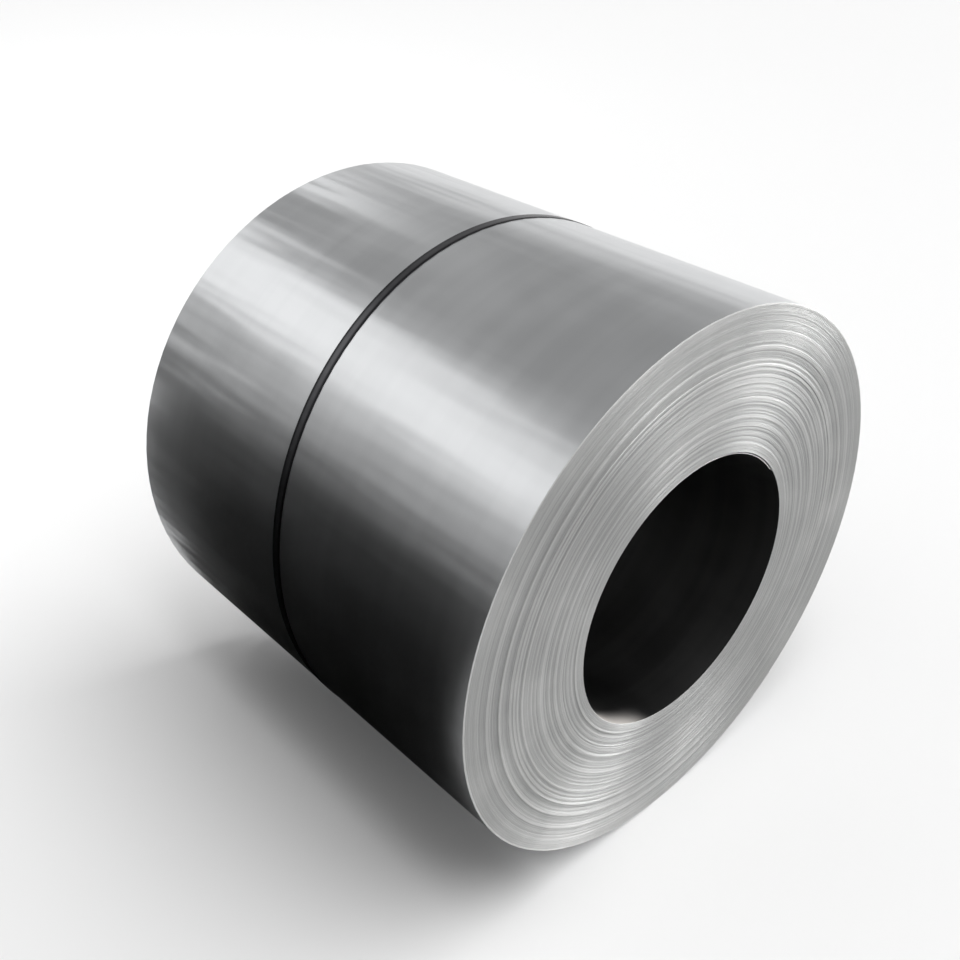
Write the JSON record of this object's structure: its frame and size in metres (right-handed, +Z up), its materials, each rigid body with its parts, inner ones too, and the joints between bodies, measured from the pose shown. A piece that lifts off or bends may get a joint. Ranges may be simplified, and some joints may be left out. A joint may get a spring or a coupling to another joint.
{
  "type": "steel coil",
  "caption": "Coil of bright steel strip lying on its side, with a round eye through its axis, turns that show as rings on its ends and a dark steel strap round its girth.",
  "frame": {"origin": "on the floor under the middle of the coil as it lies on its side", "axes": "+X along the coil's axis out of the end that the picture shows, +Z up"},
  "size_m": [0.903, 1.0117, 1.0117],
  "materials": {
    "strip_steel": "gloss",
    "strap_steel": "satin",
    "seal_steel": "satin"
  },
  "bodies": {
    "root": {"coil": "strip_steel", "strap": "strap_steel", "strap_seal": "seal_steel"}
  },
  "joints": []
}
